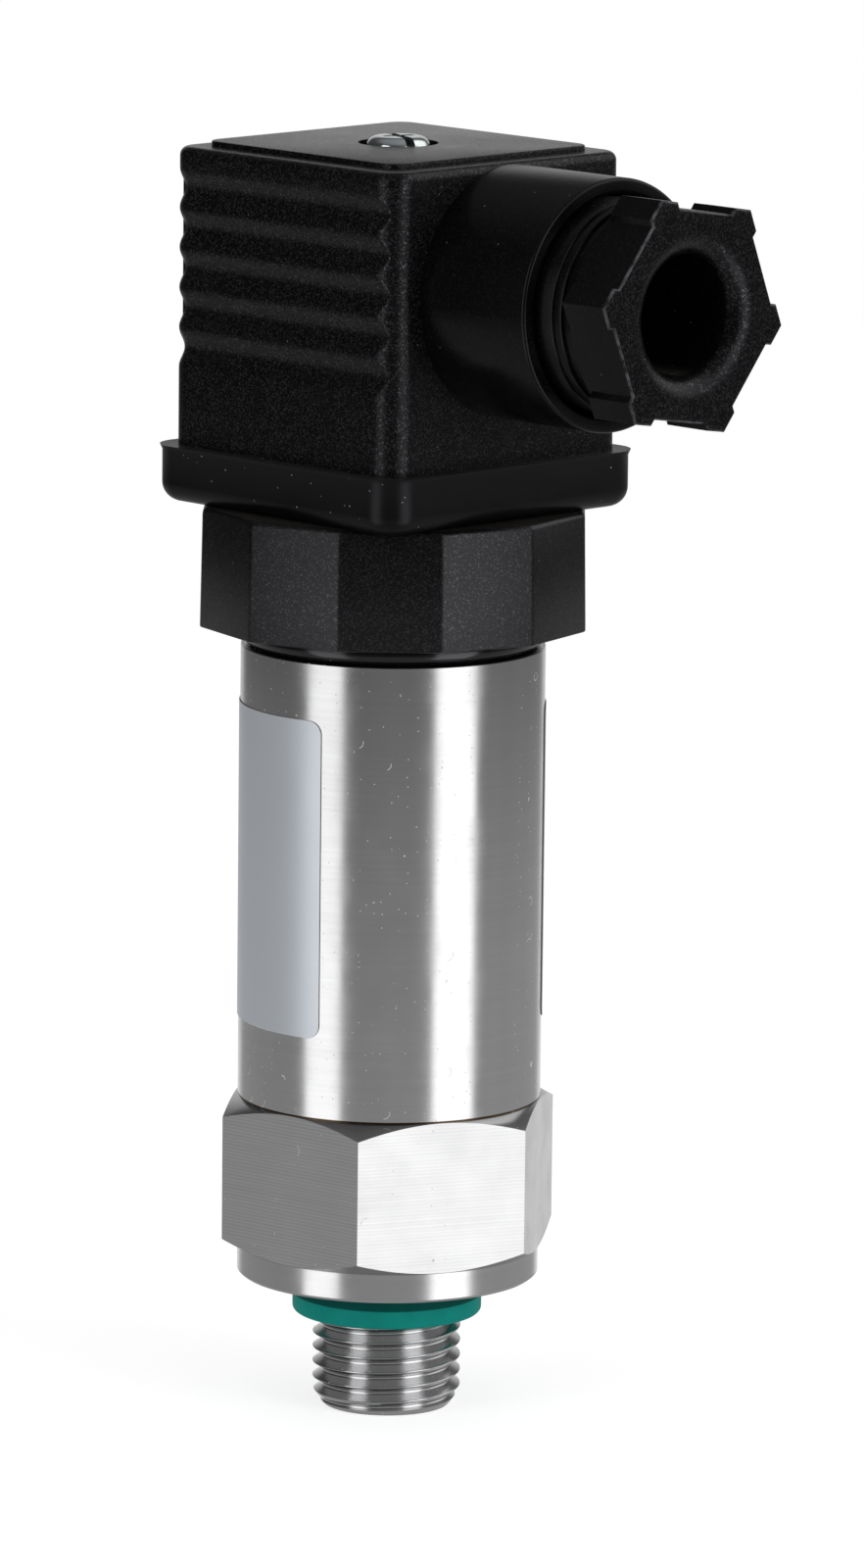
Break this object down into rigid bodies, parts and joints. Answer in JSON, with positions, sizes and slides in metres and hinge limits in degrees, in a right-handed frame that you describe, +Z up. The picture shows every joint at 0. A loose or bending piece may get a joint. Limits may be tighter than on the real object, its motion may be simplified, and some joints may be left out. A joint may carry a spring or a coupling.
{
  "type": "pressure transmitter",
  "caption": "Pressure transmitter with a threaded stud, a spanner hexagon, a steel body tube and an angled plug-in connector with a cable gland.",
  "frame": {"origin": "on the axis of the instrument, in the sealing face under the collar", "axes": "+Z up the instrument from the stud to the plug, +X along the cable entry, out of the gland"},
  "size_m": [0.0536, 0.0348, 0.1131],
  "materials": {
    "steel_turned": "turned and milled stainless steel",
    "steel_tube": "fine turned stainless steel",
    "ring_elastomer": "smooth green elastomer",
    "seal_rubber": "smooth black rubber",
    "gasket_rubber": "smooth satin black rubber",
    "cell_ceramic": "fired white ceramic",
    "clamp_brass": "turned brass",
    "insert_brass": "turned brass",
    "pin_metal": "plated pins",
    "contact_metal": "tin plated brass",
    "screw_zinc": "bluish zinc plate",
    "holder_plastic": "natural moulded plastic",
    "board_laminate": "green solder mask",
    "component_plastic": "black moulded packages",
    "wire_plastic": "coloured wire insulation",
    "label_film": "pale satin film",
    "cap_plastic": "spark eroded black moulding",
    "housing_plastic": "spark eroded black moulding",
    "block_plastic": "dark grey moulding",
    "washer_plastic": "smooth black moulding",
    "nut_plastic": "satin black moulding"
  },
  "bodies": {
    "instrument": {"process_connection": "steel_turned", "stud_sealing_ring": "ring_elastomer", "cell_seal": "seal_rubber", "measuring_cell": "cell_ceramic", "cell_clamp_ring": "clamp_brass", "cell_pins": "pin_metal", "board_holder": "holder_plastic", "circuit_board": "board_laminate", "circuit_components": "component_plastic", "lead_wires": "wire_plastic", "body_tube": "steel_tube", "type_label": "label_film", "tube_seal": "seal_rubber", "connector_cap": "cap_plastic", "threaded_insert": "insert_brass", "signal_blades": "contact_metal", "earth_blade": "contact_metal"},
    "plug": {"plug_housing": "housing_plastic", "plug_gasket": "gasket_rubber", "terminal_block": "block_plastic", "female_contacts": "contact_metal", "terminal_screws": "screw_zinc", "screw_seal": "seal_rubber", "gland_grommet": "gasket_rubber"},
    "centre_screw": {"centre_screw": "screw_zinc"},
    "gland_washer": {"gland_washer": "washer_plastic"},
    "gland_nut": {"gland_nut": "nut_plastic"}
  },
  "joints": [
    {"name": "plug_pull", "type": "slide", "parent": "instrument", "child": "plug", "axis": [0, 0, 1], "range_m": [0, 0.025]},
    {"name": "centre_screw_turn", "type": "hinge", "parent": "plug", "child": "centre_screw", "pos_m": [0, 0, 0.1], "axis": [0, 0, 1], "continuous": true},
    {"name": "gland_travel", "type": "slide", "parent": "plug", "child": "gland_washer", "axis": [1, 0, 0], "range_m": [0, 0.00425]},
    {"name": "gland_nut_turn", "type": "hinge", "parent": "gland_washer", "child": "gland_nut", "pos_m": [0.03, 0, 0.0889], "axis": [1, 0, 0], "range_deg": [0, 1080]}
  ],
  "couplings": [
    {"joint": "gland_travel", "follows": "gland_nut_turn", "m_per_rad": 0.00022458}
  ]
}
